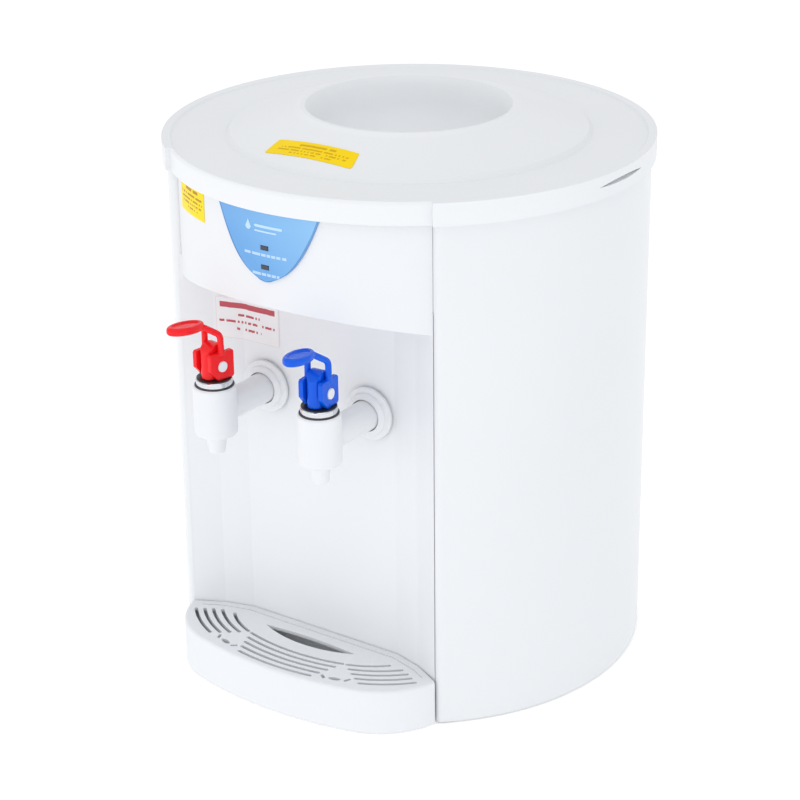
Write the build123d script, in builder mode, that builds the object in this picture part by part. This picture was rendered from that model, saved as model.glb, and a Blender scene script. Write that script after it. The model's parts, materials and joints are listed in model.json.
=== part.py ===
from build123d import *
import os
from math import cos, radians, sin

# Countertop water dispenser. Millimetres, +Z up, front towards -Y, body axis on Z, table at Z = 0.
# "az" is the angle about the body axis from the front, positive towards +X.

os.makedirs("parts", exist_ok=True)

# ---- driving dimensions ----
SHELL_R = 147.2
SHELL_T = 0.8
SHELL_Z = (1.0, 321.0)
SEAM = 40.0  # half angle of the open front
HEM_R = 4.0
HEM_INNER_R = 137.5

COVER_R = 150.0
SKIRT_Z = 316.8
SKIRT_T = 2.4
STEP_R = 147.0
DECK_Z = 329.5
BORE_R = 28.75  # bottle neck
COLLAR_R = 31.7

FASCIA_R = 143.0
PANEL_T = 2.5
PANEL_Y = -97.0
ARCH_MID_Z = 258.5
ARCH_END_Z = 250.0
ARCH_HALF = 91.5
PANEL_LINE = [(92.6, -110.9), (75.0, -102.4), (56.0, PANEL_Y)]

FLOOR_Z = 5.0
TRAY_Z = 29.0
TRAY_WALL = 2.2
SLOT_W = 2.3
SLOT_ROWS = [(131.0, 15.6, 17.0, 28.2), (136.0, 14.2, 18.2, 31.8), (141.0, 12.9, 19.6, 33.2),
             (146.0, 11.6, 21.0, 34.2), (151.0, 10.4, 22.4, 35.2)]

TAP_X = 38.5
TAP_Y = -147.5
TAP_Z = 186.0
BARREL_R = 13.0
PIN_Z = 217.0
PIN_R = 3.3
EAR_IN = 5.0
EAR_OUT = 8.0
ARM_AT = 6.9
ARM_R = 1.9
PADDLE_TILT = 4.0
PADDLE_REACH = 20.4
PADDLE_Z = 244.8
PADDLE_HALF = (13.0, 7.2)
PADDLE_T = 4.8

HOSE_R = 7.0
HOSE_BORE = 5.03
STUB_R = 5.0
STUB_BORE = 3.2

RESERVOIR_R = 87.0
RESERVOIR_Z = (209.6, 292.0)
TANK_AT = (-15.0, 20.0)
TANK_R = 45.0
TANK_Z = (42.0, 160.0)
FEED_AT = (70.0, 20.0)
VENT_AT = (0.0, 45.0)
COLD_AT = (TAP_X, -20.0)
HOT_AT = (-TAP_X, 0.0)
DRAIN_Z = 17.0
DRAIN_X = TANK_AT[0]

DRAIN_HOLE_R = 9.4

SHELF_Z = 208.0
SHELF_T = 1.2
LEAD_HOLE = (118.0, -58.0)
STUBS = [COLD_AT, FEED_AT, VENT_AT]

LEG_SPOTS = [(TANK_AT[0] + dx, TANK_AT[1] + dy) for dx in (-47, 47) for dy in (-16, 16)]
LEG_HOLE_R = 2.05

LAMP_Z = (294.8, 283.2)
BOARD_Z = 289.0
BOSS_X = 15.0

CONTROL_AZ = 135.0  # the side of the tank where the heater terminals and thermostats sit
GLAND_AZ = 158.0
GLAND_Z = 32.0
SWITCH_AZ = -158.0
SWITCH_Z = 62.0
ROCKER_TILT = 8.0
ROCKER_PIVOT_R = 146.0
TRUNNION_R = 1.4
BLOCK_AT = (75.0, 86.0)
VENTS_Z = 150.0


def heading(az):
    """Unit vector pointing away from the body axis at this azimuth."""
    return (sin(radians(az)), -cos(radians(az)), 0.0)


def polar(az, r):
    d = heading(az)
    return (d[0] * r, d[1] * r)


def radial_plane(az, r=0.0, z=0.0, at=(0.0, 0.0)):
    """Local x runs outwards, local y runs up."""
    d = heading(az)
    return Plane(origin=(at[0] + d[0] * r, at[1] + d[1] * r, z), x_dir=d, z_dir=(d[1], -d[0], 0))


def tilted_plane(az, origin, tilt):
    """Local x runs outwards and climbs by the tilt; local y is square to it, to one side."""
    d = heading(az)
    c, s = cos(radians(tilt)), sin(radians(tilt))
    return Plane(origin=origin, x_dir=(c * d[0], c * d[1], s), z_dir=(-s * d[0], -s * d[1], c))


def facing_plane(az, r, z, at=(0.0, 0.0)):
    """Looks outwards at this azimuth: local z is outwards, local y is up."""
    d = heading(az)
    return Plane(origin=(at[0] + d[0] * r, at[1] + d[1] * r, z), x_dir=(-d[1], d[0], 0), z_dir=d)


def save(built, label):
    built.part.label = label
    export_step(built.part, f"parts/{label}.step")


def outline(points, mode=Mode.ADD):
    with BuildLine() as line:
        Polyline(*points, close=True)
    make_face(line.edges(), mode=mode)


def wedge(az0, az1, mode=Mode.INTERSECT):
    outline([(0, 0)] + [polar(a, 400) for a in (az0, (az0 + az1) / 2, az1)], mode)


def ring(r_in, r_out):
    Circle(r_out)
    Circle(r_in, mode=Mode.SUBTRACT)


def tube(points, bend, r_out, r_in=0.0):
    """A bent round tube or lead along straight runs joined by arcs."""
    with BuildLine() as path:
        FilletPolyline(*points, radius=bend)
    start = Plane(origin=path.line @ 0, z_dir=path.line % 0)
    with BuildSketch(start) as end:
        Circle(r_out)
        if r_in:
            Circle(r_in, mode=Mode.SUBTRACT)
    sweep(sections=end.sketch, path=path.wires()[0])


def mirrored(points):
    """Points given from the right-hand end to the middle, continued to the left-hand end."""
    return points + [(-x, y) for x, y in reversed(points)]


def tray_edge(inset, back):
    """Plan outline of the tray bulge, its front drawn in by inset; back closes it from right to left."""
    k = inset
    with BuildLine() as line:
        right = ThreePointArc((94.2 - k, -113.2), (82.1 - 0.8 * k, -134.8 + 0.7 * k),
                              (60 - 0.3 * k, -148.2 + k))
        front = ThreePointArc(right @ 1, (0, -156 + k), (-60 + 0.3 * k, -148.2 + k))
        left = ThreePointArc(front @ 1, (-82.1 + 0.8 * k, -134.8 + 0.7 * k), (-94.2 + k, -113.2))
        Polyline(right @ 0, *back, left @ 1)
    make_face(line.edges())


def arch_region(lift, top):
    """Everything below the arch of the fascia edge, or above it when top is set."""
    far = 330 if top else -10
    with BuildLine() as line:
        ThreePointArc((-ARCH_HALF, ARCH_END_Z + lift), (0, ARCH_MID_Z + lift), (ARCH_HALF, ARCH_END_Z + lift))
        Polyline((ARCH_HALF, ARCH_END_Z + lift), (160, ARCH_END_Z + lift), (160, far), (-160, far),
                 (-160, ARCH_END_Z + lift), (-ARCH_HALF, ARCH_END_Z + lift))
    make_face(line.edges())


# ---- housing ----
with BuildPart() as side_shell:
    with BuildSketch(Plane.XY.offset(SHELL_Z[0])) as wrap:
        Circle(SHELL_R)
        wedge(-SEAM, SEAM, Mode.SUBTRACT)
        fillet([v for v in wrap.vertices() if v.Y < -50], HEM_R)
        offset(amount=-SHELL_T, mode=Mode.SUBTRACT)
        Circle(HEM_INNER_R, mode=Mode.SUBTRACT)
    extrude(amount=SHELL_Z[1] - SHELL_Z[0])
    # ventilation slots in the back
    with BuildSketch(Plane.XZ.offset(-120)):
        with Locations((0, VENTS_Z)):
            with GridLocations(70, 9, 2, 9):
                SlotOverall(56, 3.2)
    extrude(amount=-40, mode=Mode.SUBTRACT)
    with BuildSketch(Plane.XZ.offset(-120)):
        with Locations((DRAIN_X, DRAIN_Z)):
            Circle(DRAIN_HOLE_R)
    extrude(amount=-40, mode=Mode.SUBTRACT)
    with BuildSketch(facing_plane(GLAND_AZ, 130, GLAND_Z)):
        Circle(7.3)
    extrude(amount=30, mode=Mode.SUBTRACT)
    with BuildSketch(facing_plane(SWITCH_AZ, 130, SWITCH_Z)):
        Rectangle(20, 27)
    extrude(amount=30, mode=Mode.SUBTRACT)
save(side_shell, "side_shell")

# what the front of the cover is cut back by: its rim rounds down to the stepped skirt
with BuildPart() as skirt_step:
    with BuildSketch(Plane.XZ):
        with BuildLine():
            ThreePointArc((145.1, DECK_Z + 1.4), (146.4, DECK_Z + 0.3), (STEP_R, DECK_Z - 1.3))
            Polyline((STEP_R, DECK_Z - 1.3), (STEP_R, SKIRT_Z - 1), (COVER_R + 1, SKIRT_Z - 1),
                     (COVER_R + 1, DECK_Z + 3), (145.1, DECK_Z + 3), (145.1, DECK_Z + 1.4))
        make_face()
    revolve(axis=Axis.Z)
    with BuildSketch(Plane.XY.offset(SKIRT_Z - 2)):
        ring(140, COVER_R + 2)
        wedge(-39.75, 39.75)
    extrude(amount=20, mode=Mode.INTERSECT)

with BuildPart() as top_cover:
    with BuildSketch(Plane.XZ) as section:
        with BuildLine():
            Polyline((COVER_R - SKIRT_T, SKIRT_Z), (COVER_R, SKIRT_Z), (COVER_R, DECK_Z + 1),
                     (144.8, DECK_Z + 1), (143.8, DECK_Z), (111.5, DECK_Z), (109, DECK_Z + 3),
                     (69.5, DECK_Z + 14.7), (66, DECK_Z + 16.5), (63, DECK_Z + 16.3))
            Spline((63, DECK_Z + 16.3), (60, 341), (54.5, 328), (45.5, 317.2), (35.5, 310.5))
            Polyline((35.5, 310.5), (COLLAR_R, 309), (COLLAR_R, 284), (COLLAR_R + 2.5, 284),
                     (COLLAR_R + 2.5, 307), (36.8, 308.2))
            Spline((36.8, 308.2), (47.3, 315.5), (56.7, 327.2), (62.3, 340.2), (64.5, 343.2))
            Polyline((64.5, 343.2), (68.8, 341.9), (108.3, 330.1), (110.5, DECK_Z - SKIRT_T),
                     (140.3, DECK_Z - SKIRT_T), (140.3, SHELL_Z[1] + 0.3),
                     (COVER_R - SKIRT_T, SHELL_Z[1] + 0.3), (COVER_R - SKIRT_T, SKIRT_Z))
        make_face()
        corner = [v for v in section.vertices() if v.X > 149 and v.Z > DECK_Z]
        fillet(corner, 4)
    revolve(axis=Axis.Z)
    # the skirt steps inwards between the seams
    with BuildSketch(Plane.XY.offset(SKIRT_Z)):
        ring(144.6, 147.8)
        wedge(-39.9, 39.9)
    extrude(amount=6)
    add(skirt_step.part, mode=Mode.SUBTRACT)
    # crescent finger slots in the sides of the skirt
    for x in (-156, 146):
        with BuildSketch(Plane.YZ.offset(x)):
            with BuildLine() as crescent:
                ThreePointArc((-24, 324), (0, 325.8), (24, 324))
                ThreePointArc((24, 324), (0, 323.1), (-24, 324))
            make_face(crescent.edges())
        extrude(amount=10, mode=Mode.SUBTRACT)
save(top_cover, "top_cover")

with BuildPart() as bottle_collar:
    with BuildSketch(Plane.XZ):
        with BuildLine():
            Polyline((BORE_R, 286), (COLLAR_R - 0.15, 286), (COLLAR_R - 0.15, 310.9), (35.2, 311.6),
                     (35.2, 313.2), (BORE_R + 1.5, 312.2), (BORE_R, 310.5), close=True)
        make_face()
    revolve(axis=Axis.Z)
save(bottle_collar, "bottle_collar")

FRONT_LINE = mirrored(PANEL_LINE)
BACK_LINE = [(0.994 * x, y + PANEL_T + 0.2) for x, y in FRONT_LINE]

# space behind the fascia, above the ledge
with BuildPart() as behind_fascia:
    with BuildSketch(Plane.XZ):
        arch_region(PANEL_T, True)
    extrude(amount=160)
    with BuildSketch(Plane.XY.offset(240)):
        Circle(FASCIA_R - PANEL_T)
    extrude(amount=100, mode=Mode.INTERSECT)

# space for cups, under the ledge and in front of the tap panel
with BuildPart() as cup_space:
    with BuildSketch(Plane.XZ):
        arch_region(0, False)
    extrude(amount=160)
    with BuildSketch():
        outline(FRONT_LINE + [(-160, -110.9), (-160, -160), (160, -160), (160, -110.9)])
    extrude(amount=300, mode=Mode.INTERSECT)

with BuildPart() as front_panel:
    with BuildSketch(Plane.XY.offset(FLOOR_Z + 0.3)):
        outline(FRONT_LINE + BACK_LINE[::-1])
    extrude(amount=ARCH_MID_Z)
    with BuildSketch(Plane.XY.offset(240)):
        Circle(FASCIA_R)
        wedge(-39.93, 39.93)
        outline(BACK_LINE + [(-60, 10), (60, 10)], Mode.SUBTRACT)
    extrude(amount=SHELL_Z[1] - 240)
    with BuildSketch(Plane.XY):
        wedge(-39.93, 39.93, Mode.ADD)
    extrude(amount=400, mode=Mode.INTERSECT)
    add(behind_fascia.part, mode=Mode.SUBTRACT)
    add(cup_space.part, mode=Mode.SUBTRACT)
    # shank holes for the taps
    with BuildSketch(Plane.XZ.offset(80)):
        with Locations((-TAP_X, TAP_Z), (TAP_X, TAP_Z)):
            Circle(8.2)
    extrude(amount=25, mode=Mode.SUBTRACT)
    # bosses with pegs for the lamp board, windows for the lamps
    for y, r in ((134.0, 3.0), (131.0, 1.2)):
        with BuildSketch(Plane.XZ.offset(y)):
            with Locations((-BOSS_X, BOARD_Z), (BOSS_X, BOARD_Z)):
                Circle(r)
        extrude(amount=141 - y)
    with BuildSketch(Plane.XZ.offset(133)):
        with Locations((0, LAMP_Z[0]), (0, LAMP_Z[1])):
            Rectangle(6.2, 3.4)
    extrude(amount=14, mode=Mode.SUBTRACT)
save(front_panel, "front_panel")

# ---- labels ----
with BuildPart() as indicator_badge:
    with BuildSketch(Plane.XY.offset(270)):
        ring(FASCIA_R + 0.1, FASCIA_R + 1.3)
    extrude(amount=46.6)
    with BuildSketch(Plane.XZ):
        with BuildLine():
            Line((-36, 316.6), (36, 316.6))
            Spline((36, 316.6), (30.2, 303), (18.4, 284.6), (6, 276.2), tangents=((-0.4, -1), (-1, -0.42)))
            ThreePointArc((6, 276.2), (0, 274.4), (-6, 276.2))
            Spline((-6, 276.2), (-18.4, 284.6), (-30.2, 303), (-36, 316.6), tangents=((-1, 0.42), (-0.4, 1)))
        make_face()
        with Locations((0, LAMP_Z[0]), (0, LAMP_Z[1])):
            Rectangle(5.7, 2.9, mode=Mode.SUBTRACT)
    extrude(amount=160, mode=Mode.INTERSECT)
save(indicator_badge, "indicator_badge")

for label, z in (("heating_lamp_lens", LAMP_Z[0]), ("ready_lamp_lens", LAMP_Z[1])):
    with BuildPart() as lens:
        with BuildSketch(Plane.XZ.offset(139.4)):
            with Locations((0, z)):
                RectangleRounded(5.3, 2.5, 0.8)
        extrude(amount=FASCIA_R + 1.5 - 139.4)
    save(lens, label)

with BuildPart() as side_sticker:
    with BuildSketch(Plane.XY.offset(297)):
        ring(FASCIA_R + 0.05, FASCIA_R + 0.35)
        wedge(-35.5, -21.5)
    extrude(amount=19.6)
save(side_sticker, "side_sticker")

with BuildPart() as warning_label:
    with BuildSketch(Plane.XZ.offset(-PANEL_Y + 0.05)):
        with Locations((-42, 225)):
            Rectangle(28, 40)
    extrude(amount=0.3)
    with BuildSketch(Plane.XY.offset(200)):
        outline([(-56, PANEL_Y - 0.05), (-56, PANEL_Y - 0.35), (-73.5, -102.32), (-73.5, -102.02)])
    extrude(amount=50)
    with BuildSketch(Plane.XZ):
        with Locations((-51, 225)):
            RectangleRounded(45, 27, 2.5)
    extrude(amount=120, mode=Mode.INTERSECT)
save(warning_label, "warning_label")

# the deck label follows the cone of the cover
with BuildPart() as deck_sticker:
    with BuildSketch(Plane.XZ):
        outline([(75, 342.64), (108, 332.9), (108, 333.2), (75, 342.94)])
    revolve(axis=Axis.Z)
    with BuildSketch(Plane.XY.offset(320)) as sticker_plan:
        outline([(-33.6, -84.3), (-33.9, -98.9), (28.6, -98.9), (24, -84.3)])
        fillet(sticker_plan.vertices(), 1.5)
    extrude(amount=30, mode=Mode.INTERSECT)
save(deck_sticker, "deck_sticker")

# ---- base, tray and slotted cover ----
NOTCH = [(DRAIN_X - 15, 130), (DRAIN_X - 15, 150), (DRAIN_X + 15, 150), (DRAIN_X + 15, 130)]

with BuildPart() as base_pan:
    with BuildSketch(Plane.XY.offset(FLOOR_Z - 3)):
        Circle(145.6)
        wedge(-44, 44, Mode.SUBTRACT)
        Circle(136.6)
        tray_edge(3.2, [(84, -104), (60, -60), (-60, -60), (-84, -104)])
    extrude(amount=3)
    with BuildSketch():
        ring(130, 135)
    extrude(amount=FLOOR_Z - 1)
    with BuildSketch(Plane.XY.offset(FLOOR_Z - 1)):
        ring(143, 145.6)
        wedge(-44, 44, Mode.SUBTRACT)
        outline(NOTCH, Mode.SUBTRACT)
    extrude(amount=9)
    with BuildSketch():
        with Locations(*LEG_SPOTS):
            Circle(LEG_HOLE_R)
    extrude(amount=FLOOR_Z, mode=Mode.SUBTRACT)
save(base_pan, "base_pan")

COVER_BACK = [(92.2, -112), (75.15, -103), (56.1, PANEL_Y - 0.6), (-56.1, PANEL_Y - 0.6), (-75.15, -103),
              (-92.2, -112)]
EYE_R = 149.6
EYE_AZ = 16.3

with BuildPart() as drip_cover:
    with BuildSketch(Plane.XY.offset(0.6)):
        tray_edge(0, COVER_BACK)
    extrude(amount=TRAY_Z - 0.6)
    fillet(drip_cover.faces().sort_by(Axis.Z)[-1].edges().filter_by(lambda e: e.center().Y < -114), 2)
    with BuildSketch():
        tray_edge(TRAY_WALL, [(90, -90), (-90, -90)])
    extrude(amount=TRAY_Z - TRAY_WALL, mode=Mode.SUBTRACT)
    # rows of arc slots, each in three lengths
    with BuildSketch(Plane.XY.offset(TRAY_Z - 4)):
        for r, mid, start, end in SLOT_ROWS:
            # the outer slots draw in towards the corners of the tray
            for points in (((-mid, 0), (0, 0), (mid, 0)), ((start, 0), ((start + end) / 2, 1.1), (end, 3.8)),
                           ((-start, 0), (-(start + end) / 2, 1.1), (-end, 3.8))):
                with BuildSketch(mode=Mode.PRIVATE) as slot:
                    arc = ThreePointArc(*[polar(az, r - inset) for az, inset in points], mode=Mode.PRIVATE)
                    SlotArc(arc, SLOT_W)
                add(slot.sketch)
        # small eye between the outer rows, a short slot each side
        for side in (-1, 1):
            with Locations(polar(side * EYE_AZ, EYE_R)):
                Ellipse(4.0, 1.7, rotation=side * EYE_AZ)
            for lean in (-1, 1):
                with Locations(polar(side * EYE_AZ + lean * 3.0, EYE_R - 0.6)):
                    SlotOverall(4.8, 2.0, rotation=side * EYE_AZ + lean * 52)
        # lens-shaped opening
        with BuildLine() as lens_line:
            ThreePointArc((-34.5, -112.4), (0, -110.2), (34.5, -112.4))
            ThreePointArc((34.5, -112.4), (0, -120.2), (-34.5, -112.4))
        make_face(lens_line.edges())
    extrude(amount=8, mode=Mode.SUBTRACT)
    # shallow groove along the rear edge
    with BuildSketch(Plane.XY.offset(TRAY_Z - 0.6)):
        for (xa, ya), (xb, yb) in zip(COVER_BACK, COVER_BACK[1:]):
            outline([(xa, ya - 4.6), (xb, yb - 4.6), (xb, yb - 5.8), (xa, ya - 5.8)])
        with Locations((0, -100)):
            Rectangle(170, 60, mode=Mode.INTERSECT)
    extrude(amount=2, mode=Mode.SUBTRACT)
save(drip_cover, "drip_cover")

with BuildPart() as drip_tray:
    with BuildSketch(Plane.XY.offset(FLOOR_Z + 0.3)) as tray_plan:
        tray_edge(TRAY_WALL + 1.2, [(88, -113.2), (74.5, -105), (55.8, PANEL_Y - 2), (-55.8, PANEL_Y - 2),
                                    (-74.5, -105), (-88, -113.2)])
    extrude(amount=TRAY_Z - TRAY_WALL - 0.4 - FLOOR_Z - 0.3)
    with BuildSketch(Plane.XY.offset(FLOOR_Z + 2.1)):
        add(tray_plan.sketch)
        offset(amount=-1.8, mode=Mode.REPLACE)
    extrude(amount=30, mode=Mode.SUBTRACT)
save(drip_tray, "drip_tray")

# ---- shelf, reservoir and hoses ----
with BuildPart() as shelf:
    with BuildSketch(Plane.XY.offset(SHELF_Z)):
        Circle(146)
        with Locations((0, -191)):
            Rectangle(400, 200, mode=Mode.SUBTRACT)
        wedge(-44, 44, Mode.SUBTRACT)
        with Locations((0, -60)):
            Rectangle(150, 62)
        with Locations(*STUBS):
            Circle(8.6, mode=Mode.SUBTRACT)
        with Locations(LEAD_HOLE):
            Circle(5, mode=Mode.SUBTRACT)
    extrude(amount=SHELF_T)
    with BuildSketch(Plane.XY.offset(SHELF_Z - 12)):
        ring(144.8, 146)
        wedge(-44, 44, Mode.SUBTRACT)
    extrude(amount=12.5)
save(shelf, "shelf")

with BuildPart() as reservoir:
    low, high = RESERVOIR_Z
    with BuildSketch(Plane.XY.offset(low)):
        Circle(RESERVOIR_R)
    extrude(amount=high - low)
    fillet(reservoir.edges().sort_by(Axis.Z)[0], 6)
    with BuildSketch(Plane.XY.offset(high - 2.5)):
        Circle(RESERVOIR_R + 6)
    extrude(amount=2.5)
    with BuildSketch(Plane.XY.offset(low - 9)):
        with Locations(*STUBS):
            Circle(STUB_R)
    extrude(amount=9.5)
    with BuildSketch(Plane.XY.offset(low + 2.2)):
        Circle(RESERVOIR_R - 2.2)
    extrude(amount=high - low, mode=Mode.SUBTRACT)
    with BuildSketch(Plane.XY.offset(low - 9)):
        with Locations(*STUBS):
            Circle(STUB_BORE)
    extrude(amount=20, mode=Mode.SUBTRACT)
save(reservoir, "reservoir")

with BuildPart() as baffle:
    with BuildSketch(Plane.XY.offset(232)):
        Circle(80)
        with PolarLocations(60, 8):
            Circle(7, mode=Mode.SUBTRACT)
        with Locations(FEED_AT, VENT_AT):
            Circle(9, mode=Mode.SUBTRACT)
    extrude(amount=2)
    with BuildSketch(Plane.XY.offset(RESERVOIR_Z[0] + 2.4)):
        with PolarLocations(50, 3, start_angle=30):
            Circle(4)
    extrude(amount=20.2)
save(baffle, "baffle")

with BuildPart() as reservoir_lid:
    high = RESERVOIR_Z[1]
    with BuildSketch(Plane.XY.offset(high + 0.2)):
        ring(38.4, RESERVOIR_R + 6)
    extrude(amount=2.2)
    with BuildSketch(Plane.XY.offset(high - 5)):
        ring(RESERVOIR_R - 4, RESERVOIR_R - 2.5)
    extrude(amount=5.5)
save(reservoir_lid, "reservoir_lid")

with BuildPart() as collar_seal:
    with BuildSketch(Plane.XZ):
        outline([(COLLAR_R + 2.6, 289), (38.2, 289), (38.2, 294.6), (42, 294.6), (42, 296.6),
                 (COLLAR_R + 2.6, 296.6)])
    revolve(axis=Axis.Z)
save(collar_seal, "collar_seal")

with BuildPart() as hot_tank:
    low, high = TANK_Z
    with BuildSketch(Plane.XY.offset(low)):
        with Locations(TANK_AT):
            Circle(TANK_R)
    extrude(amount=high - low)
    fillet(hot_tank.edges(), 11)
    with BuildSketch(Plane.XY.offset(high - 1)):
        with Locations(HOT_AT, VENT_AT):
            Circle(STUB_R)
    extrude(amount=11)
    with BuildSketch(Plane.XY.offset(low - 11)):
        with Locations(TANK_AT):
            Circle(STUB_R)
    extrude(amount=12)
    with BuildSketch(Plane.YZ.offset(TANK_AT[0] + TANK_R - 2)):
        with Locations((TANK_AT[1], 60)):
            Circle(STUB_R)
    extrude(amount=13)
    with BuildSketch(Plane.XY.offset(low + 1)):
        with Locations(TANK_AT):
            Circle(TANK_R - 1)
    inner = extrude(amount=high - low - 2, mode=Mode.PRIVATE)
    add(inner.fillet(10, inner.edges()), mode=Mode.SUBTRACT)
    with BuildSketch(Plane.XY.offset(high - 3)):
        with Locations(HOT_AT, VENT_AT):
            Circle(STUB_BORE)
    extrude(amount=20, mode=Mode.SUBTRACT)
    with BuildSketch(Plane.XY.offset(low - 12)):
        with Locations(TANK_AT):
            Circle(STUB_BORE)
    extrude(amount=16, mode=Mode.SUBTRACT)
    with BuildSketch(Plane.YZ.offset(TANK_AT[0] + TANK_R - 6)):
        with Locations((TANK_AT[1], 60)):
            Circle(STUB_BORE)
    extrude(amount=20, mode=Mode.SUBTRACT)
save(hot_tank, "hot_tank")

with BuildPart() as feed_hose:
    tube([(*FEED_AT, 207), (*FEED_AT, 60), (TANK_AT[0] + TANK_R + 3, TANK_AT[1], 60)], 16, HOSE_R, HOSE_BORE)
save(feed_hose, "feed_hose")

with BuildPart() as vent_hose:
    with BuildSketch(Plane.XY.offset(163)):
        with Locations(VENT_AT):
            Circle(HOSE_R)
            Circle(HOSE_BORE, mode=Mode.SUBTRACT)
    extrude(amount=44)
save(vent_hose, "vent_hose")

with BuildPart() as hot_hose:
    tube([(*HOT_AT, 163), (*HOT_AT, TAP_Z), (HOT_AT[0], -71, TAP_Z)], 14, HOSE_R, HOSE_BORE)
save(hot_hose, "hot_hose")

with BuildPart() as cold_hose:
    tube([(*COLD_AT, 207), (*COLD_AT, TAP_Z), (COLD_AT[0], -71, TAP_Z)], 14, HOSE_R, HOSE_BORE)
save(cold_hose, "cold_hose")

with BuildPart() as drain_hose:
    tube([(*TANK_AT, 38), (*TANK_AT, DRAIN_Z), (TANK_AT[0], 121, DRAIN_Z)], 11, HOSE_R, HOSE_BORE)
save(drain_hose, "drain_hose")

drain_axis = Plane(origin=(DRAIN_X, 0, DRAIN_Z), x_dir=(1, 0, 0), z_dir=(0, 1, 0))
with BuildPart() as drain_outlet:
    for y0, y1, r in ((110, 125, STUB_R), (124, 151, 9.0), (138.5, 142.5, 12)):
        with BuildSketch(drain_axis.offset(y0)):
            Circle(r)
        extrude(amount=y1 - y0)
    with BuildSketch(drain_axis.offset(105)):
        Circle(STUB_BORE)
    extrude(amount=60, mode=Mode.SUBTRACT)
save(drain_outlet, "drain_outlet")

with BuildPart() as drain_cap:
    with BuildSketch(drain_axis.offset(148.4)):
        Circle(12)
    extrude(amount=6.1)
    fillet(drain_cap.edges().sort_by(Axis.Y)[-1], 1.5)
    with BuildSketch(drain_axis.offset(148)):
        Circle(9.1)
    extrude(amount=3.4, mode=Mode.SUBTRACT)
    with BuildSketch(drain_axis.offset(148)):
        with PolarLocations(12.6, 16):
            Circle(1)
    extrude(amount=8, mode=Mode.SUBTRACT)
save(drain_cap, "drain_cap")

# ---- heating ----
with BuildPart() as tank_stand:
    t = 1.5
    low, high = FLOOR_Z + 0.2, TANK_Z[0] - 0.2
    with BuildSketch(Plane.XZ.offset(-TANK_AT[1] - 24)):
        with Locations((TANK_AT[0], 0)):
            outline([(-55, low), (-37, low), (-37, high - t), (37, high - t), (37, low), (55, low),
                     (55, low + t), (37 + t, low + t), (37 + t, high), (-37 - t, high), (-37 - t, low + t),
                     (-55, low + t)])
    extrude(amount=48)
    with BuildSketch():
        with Locations(TANK_AT):
            Circle(8)
    extrude(amount=60, mode=Mode.SUBTRACT)
    with BuildSketch():
        with Locations(*LEG_SPOTS):
            Circle(LEG_HOLE_R)
    extrude(amount=10, mode=Mode.SUBTRACT)
save(tank_stand, "tank_stand")

with BuildPart() as stand_screws:
    with BuildSketch(Plane.XY.offset(2.2)):
        with Locations(*LEG_SPOTS):
            Circle(2)
    extrude(amount=5)
    with BuildSketch(Plane.XY.offset(FLOOR_Z + 1.75)):
        with Locations(*LEG_SPOTS):
            Circle(3.8)
    extrude(amount=2.4)
    with BuildSketch(Plane.XY.offset(FLOOR_Z + 3)):
        with Locations(*LEG_SPOTS):
            Rectangle(5, 0.9)
            Rectangle(0.9, 5)
    extrude(amount=2, mode=Mode.SUBTRACT)
save(stand_screws, "stand_screws")

with BuildPart() as band_heater:
    with BuildSketch(Plane.XY.offset(76)):
        with Locations(TANK_AT):
            Circle(TANK_R + 3)
            Circle(TANK_R + 0.1, mode=Mode.SUBTRACT)
        with Locations((TANK_AT[0], TANK_AT[1] + TANK_R)):
            Rectangle(3, 12, mode=Mode.SUBTRACT)
    extrude(amount=34)
    # clamping ears and screw at the gap
    with BuildSketch(Plane.XY.offset(80)):
        with Locations((TANK_AT[0], TANK_AT[1] + TANK_R + 3.6)):
            with GridLocations(5, 1, 2, 1):
                Rectangle(2, 7)
    extrude(amount=26)
    with BuildSketch(Plane.YZ.offset(TANK_AT[0] - 4)):
        with Locations((TANK_AT[1] + TANK_R + 5, 93)):
            Circle(1.6)
    extrude(amount=8)
    # terminals
    with BuildSketch(facing_plane(CONTROL_AZ, TANK_R + 2.5, 93, TANK_AT)):
        with Locations((-6, 0), (6, 0)):
            Circle(2.2)
    extrude(amount=5)
save(band_heater, "band_heater")

for label, z in (("thermostat", 130.0), ("thermal_cutout", 58.0)):
    with BuildPart() as disc:
        with BuildSketch(facing_plane(CONTROL_AZ, TANK_R + 0.15, z, TANK_AT)):
            Circle(8)
        extrude(amount=4)
        with BuildSketch(facing_plane(CONTROL_AZ, TANK_R + 3.5, z, TANK_AT)):
            Circle(6.5)
        extrude(amount=5.5)
        with BuildSketch(facing_plane(CONTROL_AZ, TANK_R + 8, z, TANK_AT)):
            with Locations((-3.5, 0), (3.5, 0)):
                Rectangle(0.8, 5)
        extrude(amount=6)
    save(disc, label)

with BuildPart() as tank_jacket:
    with BuildSketch(Plane.XY.offset(46)):
        with Locations(TANK_AT):
            Circle(TANK_R + 15)
            Circle(TANK_R + 4, mode=Mode.SUBTRACT)
    extrude(amount=106)
    with BuildSketch(facing_plane(CONTROL_AZ, 20, 95, TANK_AT)):
        RectangleRounded(44, 92, 6)
    extrude(amount=60, mode=Mode.SUBTRACT)
    with BuildSketch(Plane.YZ.offset(20)):
        with Locations((TANK_AT[1], 60)):
            Circle(HOSE_R + 1)
    extrude(amount=40, mode=Mode.SUBTRACT)
    with BuildSketch(Plane.XZ.offset(-TANK_AT[1] - 40)):
        with Locations((TANK_AT[0], 93)):
            Rectangle(16, 34)
    extrude(amount=-30, mode=Mode.SUBTRACT)
save(tank_jacket, "tank_jacket")

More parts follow.
